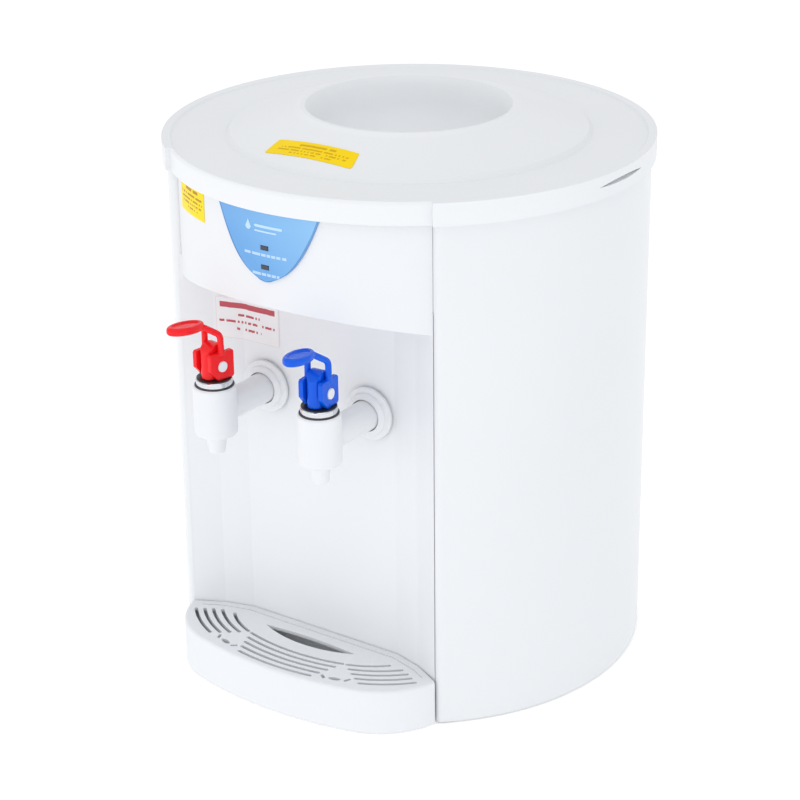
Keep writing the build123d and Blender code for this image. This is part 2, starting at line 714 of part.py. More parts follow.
# ---- electrical ----
with BuildPart() as cord_gland:
    for r0, r1, r in ((134, 150.8, 7.0), (147.65, 150.8, 10.5)):
        with BuildSketch(facing_plane(GLAND_AZ, r0, GLAND_Z)):
            Circle(r)
        extrude(amount=r1 - r0)
    with BuildSketch(facing_plane(GLAND_AZ, 141, GLAND_Z)):
        RegularPolygon(10.4, 6)
    extrude(amount=4)
    with BuildSketch(facing_plane(GLAND_AZ, 130, GLAND_Z)):
        Circle(3.6)
    extrude(amount=30, mode=Mode.SUBTRACT)
save(cord_gland, "cord_gland")

rocker_pivot = (*polar(SWITCH_AZ, ROCKER_PIVOT_R), SWITCH_Z)
rocker_tilt = tilted_plane(SWITCH_AZ, rocker_pivot, ROCKER_TILT)
rocker_side = Plane(origin=rocker_pivot, x_dir=rocker_tilt.x_dir, z_dir=-rocker_tilt.y_dir)

with BuildPart() as switch_housing:
    with BuildSketch(facing_plane(SWITCH_AZ, 122, SWITCH_Z)):
        Rectangle(19, 26)
    extrude(amount=26)
    with BuildSketch(facing_plane(SWITCH_AZ, 147.8, SWITCH_Z)):
        RectangleRounded(24, 31, 2)
    extrude(amount=2)
    with BuildSketch(facing_plane(SWITCH_AZ, 137.2, SWITCH_Z)):
        Rectangle(14.4, 22.6)
    extrude(amount=20, mode=Mode.SUBTRACT)
    with BuildSketch(rocker_side):
        Circle(TRUNNION_R + 0.1)
    extrude(amount=8.5, both=True, mode=Mode.SUBTRACT)
    with BuildSketch(facing_plane(SWITCH_AZ, 114, SWITCH_Z)):
        with Locations((-5, 0), (5, 0)):
            Rectangle(0.8, 6)
    extrude(amount=8.5)
save(switch_housing, "switch_housing")

with BuildPart() as switch_rocker:
    with BuildSketch(rocker_side):
        with BuildLine():
            Polyline((-6.4, -8), (1.5, -10.3), (6.4, -10.2), (4.6, 0), (6.4, 10.2), (1.5, 10.3), (-6.4, 8),
                     close=True)
        make_face()
    extrude(amount=6.9, both=True)
    with BuildSketch(rocker_side):
        Circle(TRUNNION_R)
    extrude(amount=8.2, both=True)
save(switch_rocker, "switch_rocker")

with BuildPart() as terminal_block:
    with BuildSketch(Plane.XY.offset(FLOOR_Z + 0.1)):
        with Locations(BLOCK_AT):
            Rectangle(44, 16)
    extrude(amount=14)
    with BuildSketch(Plane.XY.offset(FLOOR_Z + 9)):
        with Locations(BLOCK_AT):
            with GridLocations(10, 1, 4, 1):
                Circle(2.4)
    extrude(amount=10, mode=Mode.SUBTRACT)
    with BuildSketch(Plane.XZ.offset(-BLOCK_AT[1] - 10)):
        with Locations((BLOCK_AT[0], 12)):
            with GridLocations(10, 1, 4, 1):
                Circle(1.8)
    extrude(amount=20, mode=Mode.SUBTRACT)
save(terminal_block, "terminal_block")


def lead(label, points):
    """A two-core lead, drawn as one round cable along a smooth curve."""
    with BuildLine() as run:
        Spline(*points)
    with BuildPart() as wire:
        with BuildSketch(Plane(origin=run.line @ 0, z_dir=run.line % 0)):
            Circle(1.5)
        sweep(path=run.wires()[0], is_frenet=True)
    save(wire, label)


lead("heater_lead", [(60, 94.2, 12), (58, 104, 24), (42, 90, 70), (28, 64, 93)])
lead("switch_lead", [(70, 94.2, 12), (62, 112, 22), (15, 116, 44), (-28, 102, 60), (-41.4, 102.4, SWITCH_Z)])
lead("lamp_lead", [(90, 95.6, 12), (92, 104, 20), (108, 84, 56), (124, 10, 130), (*LEAD_HOLE, SHELF_Z),
                   (98, -84, 262), (55, -116, 288), (9, -129.4, 290)])

with BuildPart() as lamp_board:
    with BuildSketch(Plane.XZ.offset(132.2)):
        with Locations((0, BOARD_Z)):
            RectangleRounded(42, 24, 2)
        with Locations((-BOSS_X, BOARD_Z), (BOSS_X, BOARD_Z)):
            Circle(1.3, mode=Mode.SUBTRACT)
    extrude(amount=1.6)
    with BuildSketch(Plane.XZ.offset(133.5)):
        with Locations((0, LAMP_Z[0]), (0, LAMP_Z[1])):
            Circle(1.5)
    extrude(amount=5.4)
save(lamp_board, "lamp_board")

# ---- taps ----
for name, side, swivel in (("hot", -1, -9.0), ("cold", 1, 6.0)):
    x = side * TAP_X
    at = (x, TAP_Y)
    upright = Plane(origin=(x, TAP_Y, 0), x_dir=(1, 0, 0), z_dir=(0, -1, 0))
    barrel_axis = Axis((x, TAP_Y, 0), (0, 0, 1))
    inwards = Plane(origin=(x, 0, TAP_Z), x_dir=(1, 0, 0), z_dir=(0, 1, 0))
    shank_axis = Axis((x, 0, TAP_Z), (0, 1, 0))
    across = Plane(origin=(x, 0, TAP_Z), x_dir=(0, 1, 0), z_dir=(1, 0, 0))
    forward = radial_plane(swivel, at=at)

    with BuildPart() as tap_body:
        with BuildSketch(upright):
            with BuildLine():
                Polyline((3.5, 160.5), (4.9, 160.5), (6.4, 171.6), (10.5, 172.2))
                ThreePointArc((10.5, 172.2), (12.3, 173), (BARREL_R, 175))
                Polyline((BARREL_R, 175), (BARREL_R, 202.6), (12, 203.8), (10.2, 203.8), (3.5, 203.8),
                         (3.5, 160.5))
            make_face()
        revolve(axis=barrel_axis)
        with BuildSketch(across):
            outline([(TAP_Y + 7, 0), (TAP_Y + 7, 8.8), (-104, 9.3), (-100.5, 9.6), (-100.5, 8), (-78, 8),
                     (-78, STUB_R), (-62, STUB_R), (-62, 0)])
        revolve(axis=shank_axis)
        with BuildSketch(Plane.XY.offset(180)):
            with Locations(at):
                Circle(10.4)
        extrude(amount=30, mode=Mode.SUBTRACT)
        with BuildSketch(inwards.offset(TAP_Y)):
            Circle(STUB_BORE)
        extrude(amount=100, mode=Mode.SUBTRACT)
    save(tap_body, f"{name}_tap_body")

    with BuildPart() as wall_ring:
        with BuildSketch(across):
            outline([(PANEL_Y - 1.4, 9.9), (PANEL_Y - 1.4, 16.5), (PANEL_Y - 3.2, 16.5),
                     (PANEL_Y - 3.6, 15.9), (PANEL_Y - 3.6, 13.4), (PANEL_Y - 5.2, 13.1),
                     (PANEL_Y - 5.6, 12.4), (PANEL_Y - 7, 9.9)])
        revolve(axis=shank_axis)
    save(wall_ring, f"{name}_wall_ring")

    with BuildPart() as wall_seal:
        with BuildSketch(across):
            outline([(PANEL_Y - 0.1, 8.4), (PANEL_Y - 0.1, 15.2), (PANEL_Y - 1.2, 15.2),
                     (PANEL_Y - 1.2, 8.4)])
        revolve(axis=shank_axis)
    save(wall_seal, f"{name}_wall_seal")

    with BuildPart() as back_nut:
        with BuildSketch(inwards.offset(PANEL_Y + PANEL_T + 0.4)):
            RegularPolygon(14, 6)
            Circle(8.05, mode=Mode.SUBTRACT)
        extrude(amount=8)
    save(back_nut, f"{name}_back_nut")

    with BuildPart() as bonnet:
        with BuildSketch(upright):
            outline([(4.9, 206.2), (9, 206.2), (9, 198), (10.3, 198), (10.3, 204), (11, 204), (11, 207.4),
                     (10.4, 208), (4.9, 208)])
        revolve(axis=barrel_axis)
    save(bonnet, f"{name}_bonnet_ring")

    with BuildPart() as stem:
        with BuildSketch(upright):
            outline([(0, 186), (6.5, 186), (6.5, 188), (3, 188), (3, 201), (4.6, 203), (4.6, 212), (0, 212)])
        revolve(axis=barrel_axis)
        with BuildSketch(forward.offset(-4.6)):
            with BuildLine():
                Line((-7, 208.9), (8, 208.9))
                Line((8, 208.9), (8, 225))
                ThreePointArc((8, 225), (0.5, 230.3), (-7, 226))
                Line((-7, 226), (-7, 208.9))
            make_face()
        extrude(amount=9.2)
        fillet([e for e in stem.edges().filter_by(Axis.Z) if e.center().Z > 212], 4)
        with BuildSketch(forward.offset(-20)):
            with Locations((0, PIN_Z)):
                Circle(PIN_R + 0.05)
        extrude(amount=40, mode=Mode.SUBTRACT)
    save(stem, f"{name}_stem")

    with BuildPart() as plug:
        with BuildSketch(upright):
            outline([(0, 180.1), (6.8, 180.1), (7.2, 181), (6.2, 185.9), (0, 185.9)])
        revolve(axis=barrel_axis)
    save(plug, f"{name}_valve_plug")

    with BuildPart() as spring:
        with BuildLine() as coil:
            Helix(pitch=2.4, height=16.8, radius=5.7, center=(x, TAP_Y, 188.6))
        with BuildSketch(Plane(origin=coil.line @ 0, z_dir=coil.line % 0)):
            Circle(0.4)
        sweep(path=coil.wires()[0], is_frenet=True)
    save(spring, f"{name}_return_spring")

    with BuildPart() as pin:
        with BuildSketch(forward.offset(-9)):
            with Locations((0, PIN_Z)):
                Circle(PIN_R)
        extrude(amount=18)
        chamfer(pin.edges().filter_by(GeomType.CIRCLE), 0.5)
    save(pin, f"{name}_hinge_pin")

    d = heading(swivel)
    seat = (x + PADDLE_REACH * d[0], TAP_Y + PADDLE_REACH * d[1], PADDLE_Z)
    paddle = tilted_plane(swivel, seat, PADDLE_TILT)
    with BuildPart() as lever:
        with BuildSketch(paddle):
            Ellipse(*PADDLE_HALF)
        extrude(amount=PADDLE_T / 2, both=True)
        fillet(lever.edges(), 1.9)
        with BuildSketch(paddle.offset(PADDLE_T / 2)):
            Ellipse(PADDLE_HALF[0] - 3.2, PADDLE_HALF[1] - 3.0)
        extrude(amount=-0.9, mode=Mode.SUBTRACT)
        for inner in (-EAR_OUT, EAR_IN):
            with BuildSketch(forward.offset(inner)):
                outline([(-9, 210), (-8, 208.7), (3.2, 208.7), (9, 215.4), (9, 224.6), (8, 225.8),
                         (-8, 225.8), (-9, 224.6)])
            extrude(amount=EAR_OUT - EAR_IN)
        # two arms rise from the ears and lean together under the paddle
        for hand in (-1, 1):
            tube([forward.from_local_coords(p) for p in ((0, 224, hand * ARM_AT), (0, 236.6, hand * ARM_AT),
                                                         (11.4, 244.3, hand * 3.6))], 5, ARM_R)
        with BuildSketch(forward.offset(-20)):
            with Locations((0, PIN_Z)):
                Circle(PIN_R + 0.05)
        extrude(amount=40, mode=Mode.SUBTRACT)
    save(lever, f"{name}_lever")
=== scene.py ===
import json
from math import atan2, cos, pi, radians, sin

import bpy
from mathutils import Matrix, Vector


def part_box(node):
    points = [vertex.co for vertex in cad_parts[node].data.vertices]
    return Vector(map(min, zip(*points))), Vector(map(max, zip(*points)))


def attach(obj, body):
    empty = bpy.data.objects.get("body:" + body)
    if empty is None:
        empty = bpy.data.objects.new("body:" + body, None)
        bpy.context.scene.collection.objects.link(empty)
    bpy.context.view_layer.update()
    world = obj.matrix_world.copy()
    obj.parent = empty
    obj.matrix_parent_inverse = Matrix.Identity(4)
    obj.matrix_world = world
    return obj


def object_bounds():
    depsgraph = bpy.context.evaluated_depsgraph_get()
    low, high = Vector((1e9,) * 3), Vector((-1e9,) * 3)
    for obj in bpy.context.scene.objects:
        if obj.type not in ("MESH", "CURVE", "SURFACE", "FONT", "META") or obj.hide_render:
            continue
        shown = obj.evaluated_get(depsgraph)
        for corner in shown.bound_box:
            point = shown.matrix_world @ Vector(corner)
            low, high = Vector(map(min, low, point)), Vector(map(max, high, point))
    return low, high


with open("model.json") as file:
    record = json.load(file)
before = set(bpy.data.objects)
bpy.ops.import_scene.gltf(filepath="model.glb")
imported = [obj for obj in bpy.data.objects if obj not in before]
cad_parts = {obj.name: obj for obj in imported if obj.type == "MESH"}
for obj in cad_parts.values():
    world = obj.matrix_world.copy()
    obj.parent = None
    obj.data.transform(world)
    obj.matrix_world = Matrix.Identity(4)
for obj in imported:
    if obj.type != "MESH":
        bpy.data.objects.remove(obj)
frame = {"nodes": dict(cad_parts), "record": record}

CAD_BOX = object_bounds()
CENTRE = (CAD_BOX[0] + CAD_BOX[1]) / 2
NODES = frame["nodes"]
MM = 0.001

# ---- sizes read from the frame ----


def middle(node):
    low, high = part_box(node)
    return (low + high) / 2


BADGE_R = -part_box("indicator_badge")[0].y
WARNING = middle("warning_label")
DECK_LABEL = middle("deck_sticker")
SIDE_LABEL = middle("side_sticker")
HEATING_LAMP = middle("heating_lamp_lens")
READY_LAMP = middle("ready_lamp_lens")
BADGE_LOW, BADGE_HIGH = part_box("indicator_badge")
# how wide the badge is at a share of its height, against its full width
BADGE_OUTLINE = [(0.0427, 0.167), (0.1, 0.315), (0.2417, 0.511), (0.678, 0.839)]

# ---- sizes of the printed and added marks ----
CAPTION_DROP = 4.4 * MM  # below the lamp's middle
CAPTION_HALF_HEIGHT = 0.8 * MM
CAPTION_HALF_WIDTHS = (0.0150, 0.0100)
BADGE_RIM = 0.03  # a share of the badge's half width
INK_SWAY = 0.12 * MM
MARK_BURIED = 0.1 * MM
MARK_RAISED = 0.15 * MM
MARK_RISE = 11.4 * MM  # above the heating lamp's middle


# ---- node helpers ----
class Shader:
    """A material with one Principled shader, and short calls for the nodes that feed it."""

    def __init__(self, name, color, rough, metal=0.0, coat=0.0, specular=0.5):
        self.material = bpy.data.materials.new(name)
        self.material.use_nodes = True
        self.tree = self.material.node_tree
        self.surface = self.tree.nodes["Principled BSDF"]
        self.material.diffuse_color = (*color, 1)
        self.set("Base Color", (*color, 1))
        self.set("Roughness", rough)
        self.set("Metallic", metal)
        self.set("Coat Weight", coat)
        self.set("Coat Roughness", 0.12)
        self.set("Specular IOR Level", specular)

    def set(self, socket, value):
        if isinstance(value, bpy.types.NodeSocket):
            self.tree.links.new(value, self.surface.inputs[socket])
        else:
            self.surface.inputs[socket].default_value = value

    def add(self, kind, *values, out=0, **settings):
        made = self.tree.nodes.new(kind)
        for key, value in settings.items():
            setattr(made, key, value)
        for socket, value in zip(made.inputs, values):
            if isinstance(value, bpy.types.NodeSocket):
                self.tree.links.new(value, socket)
            elif value is not None:
                socket.default_value = value
        return made.outputs[out]

    def place(self):
        """The point on the surface in the frame's own metres."""
        return self.add("ShaderNodeTexCoord", out=3)

    def split(self):
        made = self.tree.nodes.new("ShaderNodeSeparateXYZ")
        self.tree.links.new(self.place(), made.inputs[0])
        return made.outputs

    def math(self, operation, *values, clamp=False):
        return self.add("ShaderNodeMath", *values, operation=operation, use_clamp=clamp)

    def noise(self, scale, detail=3.0, rough=0.5, stretch=(1, 1, 1)):
        where = self.add("ShaderNodeMapping", self.place(), None, None, stretch)
        made = self.tree.nodes.new("ShaderNodeTexNoise")
        self.tree.links.new(where, made.inputs["Vector"])
        made.inputs["Scale"].default_value = scale
        made.inputs["Detail"].default_value = detail
        made.inputs["Roughness"].default_value = rough
        return made.outputs["Fac"]

    def between(self, value, low, high, out_low=0.0, out_high=1.0):
        made = self.tree.nodes.new("ShaderNodeMapRange")
        for socket, number in zip(made.inputs, (value, low, high, out_low, out_high)):
            if isinstance(number, bpy.types.NodeSocket):
                self.tree.links.new(number, socket)
            else:
                socket.default_value = number
        return made.outputs[0]

    def mix(self, share, first, second):
        made = self.tree.nodes.new("ShaderNodeMix")
        made.data_type = "RGBA"
        for socket, value in ((made.inputs[0], share), (made.inputs[6], first), (made.inputs[7], second)):
            if isinstance(value, bpy.types.NodeSocket):
                self.tree.links.new(value, socket)
            else:
                socket.default_value = value if isinstance(value, float) else (*value, 1)
        return made.outputs[2]

    def bump(self, *layers):
        """Each layer is a height and the depth in metres that a height of 1 stands for."""
        normal = None
        for height, depth in layers:
            made = self.tree.nodes.new("ShaderNodeBump")
            made.inputs["Distance"].default_value = depth
            self.tree.links.new(height, made.inputs["Height"])
            if normal is not None:
                self.tree.links.new(normal, made.inputs["Normal"])
            normal = made.outputs[0]
        self.set("Normal", normal)


# ---- materials ----
def moulded(name, color, rough=0.3, shade=0.05, grain=4e-6, coat=0.0, specular=0.5):
    """Injection-moulded plastic: a fine grain, faint flow marks and handling haze."""
    m = Shader(name, color, rough, coat=coat, specular=specular)
    flow = m.noise(9, 2, 0.4)
    darker = tuple(c * (1 - shade) for c in color)
    m.set("Base Color", m.mix(m.between(flow, 0.0, 1.0), color, darker))
    haze = m.noise(30, 2, 0.4)
    m.set("Roughness", m.between(haze, 0.0, 1.0, rough - 0.05, rough + 0.06))
    m.bump((m.noise(380, 1), grain))
    return m.material


def painted(name, color, rough=0.345):
    """Powder-coated sheet steel: orange peel, with faint clouding in its colour and gloss."""
    m = Shader(name, color, rough, coat=0.2)
    cloud = m.noise(6, 2, 0.4)
    m.set("Base Color", m.mix(m.between(cloud, 0.0, 1.0), color, tuple(c * 0.96 for c in color)))
    m.set("Roughness", m.between(m.noise(24, 2, 0.4), 0.0, 1.0, rough - 0.05, rough + 0.07))
    m.bump((m.noise(300, 1, 0.4), 5e-6))
    return m.material


def metal(name, color, rough, grain=(1, 1, 1), scale=900, depth=6e-6, dull=0.12):
    """Bare or plated metal, its marks drawn out along the grain."""
    m = Shader(name, color, rough, metal=1.0)
    marks = m.noise(scale, 4, 0.6, grain)
    m.set("Roughness", m.between(marks, 0.3, 0.75, rough, rough + dull))
    m.set("Base Color", m.mix(m.between(marks, 0.35, 0.8), color, tuple(c * 0.85 for c in color)))
    m.bump((marks, depth))
    return m.material


def rubbery(name, color, rough=0.55):
    m = Shader(name, color, rough)
    bloom = m.noise(90, 5, 0.65)
    m.set("Base Color", m.mix(m.between(bloom, 0.4, 0.75), color, tuple(min(1, c * 1.12) for c in color)))
    m.set("Roughness", m.between(bloom, 0.3, 0.8, rough - 0.08, rough + 0.1))
    m.bump((m.noise(1500, 3), 2e-5))
    return m.material


def foamed(name, color):
    """Closed-cell foam: round cells and a powdery face."""
    m = Shader(name, color, 0.9, specular=0.2)
    cells = m.tree.nodes.new("ShaderNodeTexVoronoi")
    cells.inputs["Scale"].default_value = 420
    m.tree.links.new(m.place(), cells.inputs["Vector"])
    far = m.between(cells.outputs["Distance"], 0.0, 0.7)
    m.set("Base Color", m.mix(far, tuple(c * 0.86 for c in color), color))
    m.bump((far, 3e-4))
    return m.material


def printed(name, paper, ink, rows, across, up, border=None, rough=0.3, variation=0.05):
    """Label stock with rows of ink. A row is its height above the label's middle, its half height and half
    width and the size of its dashes, in millimetres, and the share of them left out. across and up return
    sockets. border is the half width, half height and thickness of a ruled line, in millimetres."""
    m = Shader(name, paper, rough, specular=0.08)
    u, v = across(m), up(m)
    ground = m.mix(m.between(m.noise(45, 3), 0.3, 0.75), paper, tuple(c * (1 - variation) for c in paper))
    for number, (*sizes, gaps) in enumerate(rows):
        height, half_height, half_width, dash = (size * MM for size in sizes)
        mask = m.math("MULTIPLY", m.math("COMPARE", v, height, half_height),
                      m.math("COMPARE", u, 0.0, half_width))
        run = m.add("ShaderNodeTexWhiteNoise", None, None, noise_dimensions="1D", out=0)
        step = m.math("FLOOR", m.math("DIVIDE", m.math("ADD", u, 0.1 + number * 0.013), dash))
        m.tree.links.new(step, run.node.inputs["W"])
        mask = m.math("MULTIPLY", mask, m.math("GREATER_THAN", run, gaps))
        sway = m.between(run, gaps, 1.0, height - INK_SWAY, height + INK_SWAY)
        mask = m.math("MULTIPLY", mask, m.math("COMPARE", v, sway, 0.85 * half_height))
        ground = m.mix(mask, ground, ink)
    if border:
        half_width, half_height, line = (size * MM for size in border)
        inside = m.math("MULTIPLY", m.math("COMPARE", u, 0.0, half_width),
                        m.math("COMPARE", v, 0.0, half_height))
        core = m.math("MULTIPLY", m.math("COMPARE", u, 0.0, half_width - line),
                      m.math("COMPARE", v, 0.0, half_height - line))
        ground = m.mix(m.math("MULTIPLY", m.math("SUBTRACT", inside, core), 0.35), ground, ink)
    m.set("Base Color", ground)
    m.bump((m.noise(300, 1), 2e-6), (m.noise(60, 1), 1e-5))
    return m.material


def from_axis(axis, zero):
    return lambda m: m.math("SUBTRACT", m.split()[axis], zero)


def round_body(zero):
    """Distance round the body from the label's middle, in metres."""
    def socket(m):
        x, y, z = m.split()
        angle = m.math("ARCTAN2", x, m.math("MULTIPLY", y, -1.0))
        return m.math("MULTIPLY", m.math("SUBTRACT", angle, zero), BADGE_R)
    return socket


def badge_blue():
    """The indicator badge: sky blue with a painted highlight that makes it paler to its upper right, a
    darker rim and light captions.
    """
    m = Shader("badge_blue", (0.12, 0.38, 0.85), 0.2, coat=0.2, specular=0.35)
    x, y, z = m.split()
    tall = BADGE_HIGH.z - BADGE_LOW.z
    rise = m.math("DIVIDE", m.math("SUBTRACT", z, BADGE_LOW.z), tall)
    # painted highlight: the blue grows paler towards the right and the top of the badge, as if lit from
    # there
    painted_highlight_slope = m.math("ADD", m.math("MULTIPLY", x, 9.0), m.math("MULTIPLY", rise, 0.35))
    pale = m.math("ADD", painted_highlight_slope, m.between(m.noise(14, 1), 0.3, 0.7, -0.05, 0.05), clamp=True)
    ground = m.mix(pale, (0.13, 0.36, 0.72), (0.33, 0.61, 0.88))
    for lamp, half_width in zip((HEATING_LAMP, READY_LAMP), CAPTION_HALF_WIDTHS):
        band = m.math("MULTIPLY", m.math("COMPARE", z, lamp.z - CAPTION_DROP, CAPTION_HALF_HEIGHT),
                      m.math("COMPARE", x, 0.0, half_width))
        run = m.noise(560, 0, 0.5, (1, 0, 0))
        mask = m.math("MULTIPLY", m.math("MULTIPLY", band, m.math("GREATER_THAN", run, 0.40)), 0.6)
        ground = m.mix(mask, ground, (0.66, 0.82, 0.96))
    outline = m.tree.nodes.new("ShaderNodeFloatCurve")
    for rise_at, share in BADGE_OUTLINE:
        outline.mapping.curves[0].points.new(rise_at, share)
    outline.mapping.update()
    m.tree.links.new(rise, outline.inputs["Value"])
    inner = m.math("SUBTRACT", outline.outputs[0], BADGE_RIM)
    side = m.math("DIVIDE", m.math("ABSOLUTE", x), BADGE_HIGH.x)
    rim = m.math("MULTIPLY", m.math("GREATER_THAN", side, inner), 0.6)
    ground = m.mix(rim, ground, (0.04, 0.16, 0.45))
    m.set("Base Color", ground)
    m.set("Roughness", m.between(m.noise(80, 3), 0.3, 0.7, 0.16, 0.26))
    m.bump((m.noise(320, 1), 1.5e-6))
    return m.material


WHITE = moulded("white_plastic", (0.805, 0.82, 0.84), 0.35, specular=0.4)
# the same white plastic made a little paler for the top cover: painted light, so the cover reads as bright
# as the lit sides
COVER_WHITE_PAINTED_LIGHT = moulded("cover_plastic_painted_light", (0.82, 0.834, 0.85), 0.35, specular=0.35)
STEEL = painted("painted_steel", (0.79, 0.806, 0.822))
NATURAL = moulded("natural_plastic", (0.80, 0.81, 0.78), 0.45, grain=2.5e-5)
RED = moulded("red_plastic", (0.92, 0.010, 0.015), 0.2, shade=0.08, specular=0.3)
BLUE = moulded("blue_plastic", (0.001, 0.105, 0.74), 0.2, shade=0.08, specular=0.25)
BLACK = moulded("black_plastic", (0.018, 0.018, 0.02), 0.42, grain=3e-5)
BOARD = moulded("board_green", (0.015, 0.13, 0.05), 0.35)
CABLE = moulded("cable_grey", (0.22, 0.22, 0.24), 0.5)
LAMP = moulded("lamp_dark", (0.012, 0.014, 0.03), 0.12, coat=0.8)
CHROME = metal("chrome", (0.72, 0.73, 0.76), 0.07, scale=300, depth=2e-6, dull=0.06)
STAINLESS = metal("stainless", (0.62, 0.62, 0.61), 0.29, (1, 1, 14))
GALVANISED = metal("galvanised", (0.52, 0.55, 0.58), 0.36, scale=160, depth=1.5e-5)
SPRING = metal("spring_steel", (0.45, 0.45, 0.47), 0.29, scale=500)
SILICONE = rubbery("silicone", (0.72, 0.74, 0.74))
FOAM = foamed("foam", (0.86, 0.85, 0.80))
BADGE = badge_blue()
YELLOW_DECK = printed("label_yellow_deck", (0.96, 0.68, 0.001), (0.66, 0.40, 0.003),
                      [(3.8, 1.1, 13, 1.9, 0.15), (0.6, 0.8, 24, 1.3, 0.25),
                       (-2.0, 0.8, 25, 1.2, 0.25), (-4.6, 0.7, 15, 1.3, 0.3)],
                      from_axis(0, DECK_LABEL.x), from_axis(1, DECK_LABEL.y))
YELLOW_SIDE = printed("label_yellow_side", (0.93, 0.74, 0.015), (0.50, 0.26, 0.015),
                      [(5.6, 1.1, 10, 2.2, 0.2), (2.2, 0.8, 15, 1.5, 0.3), (-0.6, 0.7, 15, 1.4, 0.3),
                       (-3.2, 0.7, 14, 1.4, 0.3), (-5.8, 0.6, 9, 1.3, 0.3)],
                      round_body(atan2(SIDE_LABEL.x, -SIDE_LABEL.y)), from_axis(2, SIDE_LABEL.z))
WARNING_WHITE = printed("label_white", (0.84, 0.83, 0.84), (0.50, 0.10, 0.12),
                        [(8.4, 2.1, 19.5, 2.6, 0.04), (2.4, 0.9, 8, 1.2, 0.25),
                         (-2.0, 0.9, 20, 1.2, 0.25), (-6.6, 0.9, 9, 1.2, 0.25)],
                        from_axis(0, WARNING.x), from_axis(2, WARNING.z), border=(22, 13, 0.2))

FINISH = {
    "painted_steel": STEEL, "white_plastic": WHITE, "natural_plastic": NATURAL, "red_plastic": RED,
    "blue_plastic": BLUE, "chrome": CHROME, "badge_blue": BADGE, "label_white": WARNING_WHITE,
    "label_yellow": YELLOW_DECK, "lamp_dark": LAMP, "stainless": STAINLESS, "galvanised": GALVANISED,
    "foam": FOAM, "silicone": SILICONE, "black_plastic": BLACK, "board_green": BOARD,
    "cable_grey": CABLE, "spring_steel": SPRING,
}


def give(obj, finish):
    obj.data.materials.clear()
    obj.data.materials.append(finish)


for part in frame["record"]["subparts"]:
    give(NODES[part["node"]], FINISH[part["material_slot"]])
give(NODES["side_sticker"], YELLOW_SIDE)
# the top cover takes the paler copy of the white plastic, which is painted light
give(NODES["top_cover"], COVER_WHITE_PAINTED_LIGHT)


# ---- moulded edges ----
def soften(node, voxel, rounds):
    """Rounds the sharp edges of a small moulded CAD node, as the mould's draft and radii would."""
    obj = NODES[node]
    remesh = obj.modifiers.new("radius", "REMESH")
    remesh.mode = "VOXEL"
    remesh.voxel_size = voxel
    remesh.use_smooth_shade = True
    smooth = obj.modifiers.new("soft", "SMOOTH")
    smooth.factor = 0.5
    smooth.iterations = rounds


for tap in ("hot", "cold"):
    soften(f"{tap}_lever", 0.28 * MM, 3)
    soften(f"{tap}_stem", 0.28 * MM, 4)
    soften(f"{tap}_tap_body", 0.4 * MM, 5)
    soften(f"{tap}_wall_ring", 0.3 * MM, 2)
    soften(f"{tap}_hinge_pin", 0.2 * MM, 2)
    soften(f"{tap}_bonnet_ring", 0.2 * MM, 2)


# ---- new pieces ----
def piece(name, mesh_points, faces, body, finish):
    mesh = bpy.data.meshes.new(name)
    mesh.from_pydata(mesh_points, [], faces)
    mesh.update()
    obj = bpy.data.objects.new(name, mesh)
    bpy.context.scene.collection.objects.link(obj)
    mesh.materials.append(finish)
    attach(obj, body)
    return obj


def inlay(name, spine, finish):
    """A thin raised mark on the badge, wrapped round its face. spine lists (x, low z, high z)."""
    foot, face = BADGE_R - MARK_BURIED, BADGE_R + MARK_RAISED
    points, faces = [], []
    for x, low, high in spine:
        for radius, z in ((foot, low), (face, low), (face, high), (foot, high)):
            points.append((x, -(radius ** 2 - x ** 2) ** 0.5, z))
    for i in range(len(spine) - 1):
        for k in range(4):
            a, b = 4 * i + k, 4 * i + (k + 1) % 4
            faces.append((a, b, b + 4, a + 4))
    last = len(points) - 4
    faces += [(3, 2, 1, 0), (last, last + 1, last + 2, last + 3)]
    return piece(name, points, faces, "housing", finish)


MARK = moulded("badge_mark", (0.50, 0.72, 0.92), 0.34)


def drop(x, z, radius, steps=20):
    """A plain water drop with its point upwards: a round foot and sides that close in above it."""
    spine = []
    for i in range(steps + 1):
        across = -cos(pi * i / steps) * 0.985
        foot = max(0.0, 1 - across ** 2) ** 0.5
        peak = (1 - abs(across)) ** 1.35 * 1.9 + foot * 0.25
        spine.append((x + radius * across, z - radius * foot, z + radius * peak))
    return spine


def bar(x0, x1, z, half, steps=24):
    """A strip with round ends."""
    spine = []
    for i in range(steps + 1):
        x = x0 + (x1 - x0) * i / steps
        end = min(1.0, max(0.0, 1 - min(x - x0, x1 - x) / half))
        rise = half * max(0.15, (1 - end ** 2) ** 0.5)
        spine.append((x, z - rise, z + rise))
    return spine


MARK_Z = HEATING_LAMP.z + MARK_RISE
inlay("badge_drop", drop(-11.5 * MM, MARK_Z, 2.0 * MM), MARK)
inlay("badge_bar_upper", bar(-7 * MM, 13 * MM, MARK_Z + 1.3 * MM, 0.8 * MM), MARK)
inlay("badge_bar_lower", bar(-7 * MM, 9 * MM, MARK_Z - 1.7 * MM, 0.5 * MM), MARK)


def washer(name, at, radii, heights, body, finish, steps=64):
    """A flat ring round an upright axis."""
    (inner, outer), (low, high) = radii, heights
    section = [(inner, low), (outer, low), (outer, high), (inner, high)]
    points = [(at.x + r * cos(2 * pi * i / steps), at.y + r * sin(2 * pi * i / steps), z)
              for i in range(steps) for r, z in section]
    faces = []
    for i in range(steps):
        j = (i + 1) % steps
        for k in range(4):
            n = (k + 1) % 4
            faces.append((4 * i + k, 4 * j + k, 4 * j + n, 4 * i + n))
    return piece(name, points, faces, body, finish)


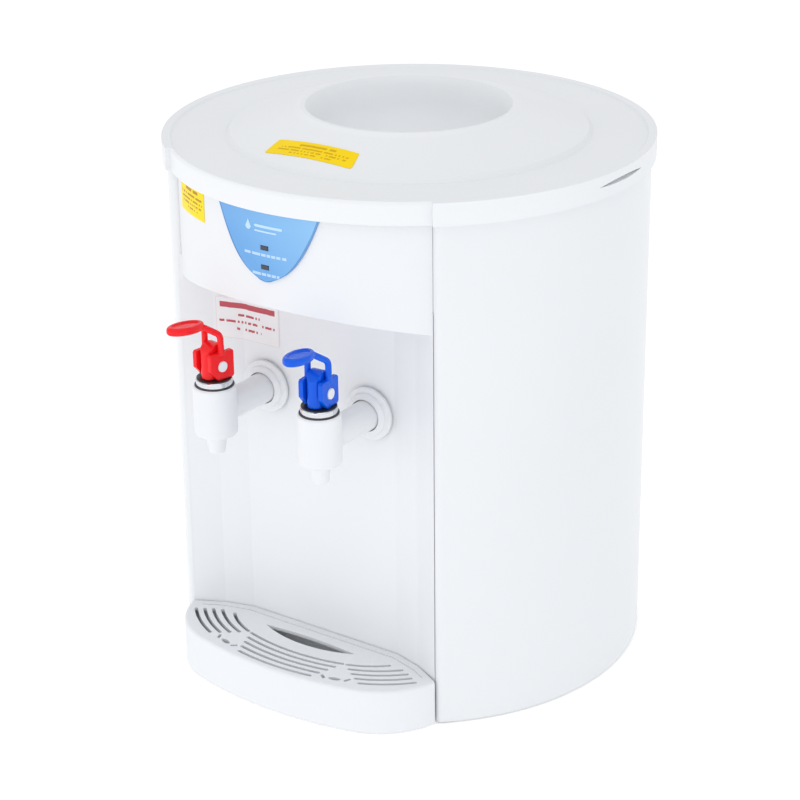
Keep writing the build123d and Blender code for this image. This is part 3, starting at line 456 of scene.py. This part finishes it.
# black rings over and under the chrome ring of each tap: painted shade, standing for the dark band under
# the lever head and the dark line below the chrome ring
for tap in ("hot", "cold"):
    ring_low, ring_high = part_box(f"{tap}_bonnet_ring")
    axis = (ring_low + ring_high) / 2
    barrel_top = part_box(f"{tap}_tap_body")[1].z
    for place, (inner, outer), foot, thickness in (("upper", (5.0, 10.5), ring_high.z, 0.6),
                                                   ("lower", (11.02, 11.8), barrel_top, 0.7)):
        washer(f"{tap}_shade_ring_{place}", axis, (inner * MM, outer * MM), (foot, foot + thickness * MM),
               "housing", BLACK)

# ---- floor ----
FLOOR_HALF = 6.0
FLOOR_GLOW = 0.24
floor_mesh = bpy.data.meshes.new("floor")
corners = [(x * FLOOR_HALF, y * FLOOR_HALF, 0) for x, y in ((-1, -1), (1, -1), (1, 1), (-1, 1))]
floor_mesh.from_pydata(corners, [], [(0, 1, 2, 3)])
floor = bpy.data.objects.new("floor", floor_mesh)
bpy.context.scene.collection.objects.link(floor)
pale = Shader("floor", (0.93, 0.935, 0.94), 0.7, specular=0.2)
pale.set("Roughness", pale.between(pale.noise(6, 2), 0.3, 0.7, 0.66, 0.76))
pale.set("Emission Color", (1, 1, 1, 1))
pale.set("Emission Strength", FLOOR_GLOW)
floor_mesh.materials.append(pale.material)


# ---- light ----
# name, place, width and height in metres, power in watts, colour
LIGHTS = [("key", (0.75, -1.85, 0.62), (2.2, 1.2), 2.0, (1, 0.998, 0.992)),
          ("low", (-0.1, -1.9, 0.24), (2.0, 0.4), 3.6, (1, 0.998, 0.99)),
          ("top", (0.3, -0.4, 2.0), (1.8, 1.8), 5.5, (1, 1, 1)),
          ("side", (-1.9, -1.2, 0.6), (1.4, 1.2), 2.5, (1, 0.995, 0.985)),
          ("far_side", (2.2, 0.2, 0.6), (1.2, 1.2), 2, (0.97, 0.985, 1))]
WORLD_COLOR = (0.975, 0.985, 1.0, 1)
WORLD_STRENGTH = 0.84


def soft_light(name, at, size, power, color):
    """An area light that faces the middle of the object."""
    lamp = bpy.data.lights.new(name, "AREA")
    lamp.shape = "RECTANGLE"
    lamp.size, lamp.size_y = size
    lamp.energy = power
    lamp.color = color
    obj = bpy.data.objects.new(name, lamp)
    obj.location = at
    obj.rotation_euler = (CENTRE - Vector(at)).to_track_quat("-Z", "Y").to_euler()
    bpy.context.scene.collection.objects.link(obj)


for light in LIGHTS:
    soft_light(*light)

world = bpy.data.worlds.new("studio")
world.use_nodes = True
bpy.context.scene.world = world
sky = world.node_tree.nodes["Background"]
sky.inputs["Color"].default_value = WORLD_COLOR
sky.inputs["Strength"].default_value = WORLD_STRENGTH
bpy.context.scene.view_settings.view_transform = "Standard"

# ---- camera ----
CAMERA_AT = Vector((0.7846, -1.1234, 0.7298))
LOOK_AT = Vector((-0.0060, -0.0042, 0.1507))
ROLL = radians(-0.626)
LENS_MM = 105.1
SENSOR_MM = 36
lens = bpy.data.cameras.new("camera")
lens.lens = LENS_MM
lens.sensor_width = SENSOR_MM
camera = bpy.data.objects.new("camera", lens)
camera.location = CAMERA_AT
aim = (LOOK_AT - CAMERA_AT).to_track_quat("-Z", "Y").to_matrix()
camera.rotation_euler = (aim @ Matrix.Rotation(ROLL, 3, "Z")).to_euler()
bpy.context.scene.collection.objects.link(camera)
bpy.context.scene.camera = camera
